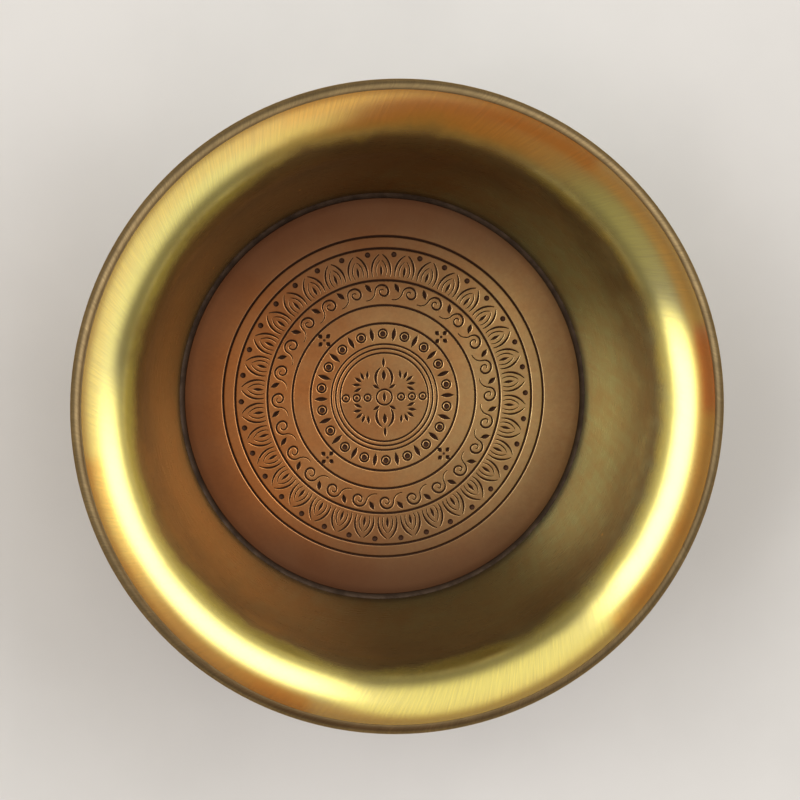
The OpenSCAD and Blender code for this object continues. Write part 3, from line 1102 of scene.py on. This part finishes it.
class BOWL_OT_solder(PieceOperator):
    """Run the three solder seams"""

    bl_idname = "incense_bowl.solder"
    bl_label = "Solder seams"

    def execute(self, context):
        for name, node, outline in (
            ("rim_solder_seam", "rim_seam", self.rim_seam()),
            ("floor_solder_seam", "floor_seam", self.floor_seam()),
            ("foot_solder_seam", "foot_seam", self.foot_seam()),
        ):
            finish_piece(lathe(name, outline), node, "solder")
        return {"FINISHED"}

    def rim_seam(self):
        """A hollow fillet in the corner between the wire and the underside of the lip."""
        sizes = settings().sizes
        wall = WallCurve(sizes)
        gap = WIRE_FACE_R - RIM_SEAM_HIGH.x
        under_r = sizes.lip - sizes.wall - gap
        end_angle = wall.lip_angle(under_r, RIM_SEAM_HIGH.x)
        corner = polar(wall.lip_c, under_r, end_angle)
        hollow_c = corner - Vector((sizes.fillet, sizes.fillet))
        meet = crossing(hollow_c, sizes.fillet, wall.lip_c, under_r)
        return (
            arc(hollow_c, sizes.fillet, 0, heading(hollow_c, meet), 10)
            + arc(wall.lip_c, under_r, heading(wall.lip_c, meet), end_angle, 10)[1:]
        )

    def floor_seam(self):
        """A hollow face between the plate's edge and the wall, drawn up against both."""
        wall = WallCurve(settings().sizes)
        gap = 0.02 * MM
        low = FLOOR_SEAM_LOW.z
        top = (FLOOR_SEAM_HIGH.z + PLATE_HIGH.z) / 2
        inner = PLATE_HIGH.x + gap
        outer = wall.inside_r(top) - gap
        sag = (outer - inner) / 8
        steps = 5
        shares = [i / steps for i in range(steps + 1)]
        face = [(outer + (inner - outer) * t, top - 4 * sag * t * (1 - t)) for t in shares]
        return [(inner, low), (wall.inside_r(low) - gap, low)] + face

    def foot_seam(self):
        """A hollow fillet in the corner between the shell's bottom and the foot."""
        leg = settings().sizes.fillet
        corner = Vector((FOOT_SEAM_HIGH.x, FOOT_SEAM_HIGH.z))
        return [corner] + arc(corner - Vector((leg, leg)), leg, 90, 0, 10)


class BOWL_OT_studio(PieceOperator):
    """Set the pale floor, the soft light and the camera"""

    bl_idname = "incense_bowl.studio"
    bl_label = "Studio"

    def execute(self, context):
        studio = settings().studio
        self.floor()
        self.backdrop(studio)
        self.camera(studio)
        context.scene.view_settings.view_transform = "Standard"
        return {"FINISHED"}

    def floor(self):
        """A wide pale table top under the bowl."""
        width, gap, shade = 40.0, 0.02 * MM, 0.94
        bpy.ops.object.select_all(action="DESELECT")
        bpy.ops.mesh.primitive_plane_add(size=width, location=(0, 0, -gap))
        floor = bpy.context.object
        floor.name = "studio_floor"
        material = bpy.data.materials.new("pale_floor")
        material.use_nodes = True
        tree = material.node_tree
        pale = settings().finish.floor
        shaded = [shade * part for part in pale[:3]] + [1.0]
        base = tint(tree, pale, shaded, mottle(tree, 60 * MM))
        connect(tree, tree.nodes["Principled BSDF"], Base_Color=base, Roughness=0.7)
        floor.data.materials.append(material)

    def backdrop(self, studio):
        """A light tent, warm and dim overhead, with soft panels round it and a pale curtain below.

        The camera sees the curtain everywhere, and metal shows it up to where the panels begin.
        """
        world = bpy.data.worlds.new("studio_backdrop")
        world.use_nodes = True
        tree = world.node_tree
        sky = add(tree, "TexCoord").outputs["Generated"]
        direction, _, up = polar_parts(tree, sky)
        overhead = spread(tree, up, 0.87, 0.93)
        light = tint(tree, studio.dusk, studio.ceiling, overhead)
        zenith_aim = (0.0, -0.05, 0.9987)
        darker = spread(tree, facing(tree, sky, zenith_aim), 0.98, 0.995)
        light = tint(tree, light, studio.zenith, darker)
        white, cream, warm = (1.0, 1.0, 1.0), (1.0, 0.97, 0.82), (1.0, 0.52, 0.28)
        for middle, width, side_soft, low, high, level, hue in (
            (268, 44, 14, 15, 82, studio.lamp_panel, warm),
            (216, 34, 14, 24, 62, studio.lamp_panel, cream),
            (310, 40, 8, 30, 80, studio.front_panel, white),
            (350, 46, 8, 32, 75, studio.side_panel, white),
            (97, 72, 1, 27, 83, studio.back_panel, cream),
            (168, 68, 9, 22, 61, studio.left_panel, white),
            (30, 72, 10, 20, 55, studio.right_panel, white),
        ):
            mask = self.panel(tree, direction, up, middle, width, side_soft, low, high)
            light = tint(tree, light, [level * part for part in hue] + [1.0], mask)
        rays = add(tree, "LightPath").outputs
        mirrored = sums(tree, "MAXIMUM", rays["Is Glossy Ray"], rays["Is Transmission Ray"])
        low_down = spread(tree, up, 0.03, 0.14, 1.0, 0.0)
        seen = sums(tree, "MAXIMUM", rays["Is Camera Ray"], times(tree, mirrored, low_down))
        light = tint(tree, light, studio.curtain, seen)
        feed(tree, tree.nodes["Background"].inputs["Color"], light)
        bpy.context.scene.world = world

    def panel(self, tree, direction, up, middle, width, side_soft, low, high):
        """Mask of a panel that covers a width round a middle direction and a range of heights."""
        low_soft, high_soft = 11, 8
        sides = [math.cos(math.radians(width / 2 + soft)) for soft in (side_soft, -side_soft)]
        lows = [math.sin(math.radians(low + soft)) for soft in (-low_soft, low_soft)]
        highs = [math.sin(math.radians(high + soft)) for soft in (-high_soft, high_soft)]
        within = spread(tree, toward(tree, direction, middle), *sides)
        above = spread(tree, up, *lows)
        below = spread(tree, up, *highs, 1.0, 0.0)
        return times(tree, times(tree, within, above), below)

    def camera(self, studio):
        """A camera above the bowl, at the photograph's angle."""
        camera = bpy.data.objects.new("studio_camera", bpy.data.cameras.new("studio_camera"))
        camera.data.lens = studio.lens
        camera.data.clip_start = 10 * MM
        place, aim = Vector(studio.camera_place), Vector(studio.camera_aim)
        back = (place - aim).normalized()
        right = Vector(studio.camera_up).cross(back).normalized()
        up = back.cross(right)
        turn = Matrix((right, up, back)).transposed().to_4x4()
        camera.matrix_world = Matrix.Translation(place) @ turn
        bpy.context.scene.collection.objects.link(camera)
        bpy.context.scene.camera = camera


class BOWL_PT_sidebar(bpy.types.Panel):
    """Incense bowl tools in the 3D view's sidebar"""

    bl_idname = "BOWL_PT_sidebar"
    bl_label = "Incense Bowl"
    bl_space_type = "VIEW_3D"
    bl_region_type = "UI"
    bl_category = "Incense Bowl"

    def draw(self, context):
        for operator in OPERATORS:
            self.layout.operator(operator.bl_idname)


OPERATORS = (
    BOWL_OT_shell,
    BOWL_OT_rim_wire,
    BOWL_OT_floor_plate,
    BOWL_OT_foot_ring,
    BOWL_OT_solder,
    BOWL_OT_studio,
)
CLASSES = (
    BowlSizes, EngravingSizes, FinishColours, StudioSettings, BowlSettings, *OPERATORS, BOWL_PT_sidebar
)


def register():
    for cls in CLASSES:
        bpy.utils.register_class(cls)
    bpy.types.Scene.incense_bowl = PointerProperty(type=BowlSettings)


def unregister():
    del bpy.types.Scene.incense_bowl
    for cls in reversed(CLASSES):
        bpy.utils.unregister_class(cls)


def main():
    """Build every piece and the studio."""
    register()
    bpy.ops.incense_bowl.shell()
    bpy.ops.incense_bowl.rim_wire()
    bpy.ops.incense_bowl.floor_plate()
    bpy.ops.incense_bowl.foot_ring()
    bpy.ops.incense_bowl.solder()
    bpy.ops.incense_bowl.studio()


if __name__ == "__main__":
    main()
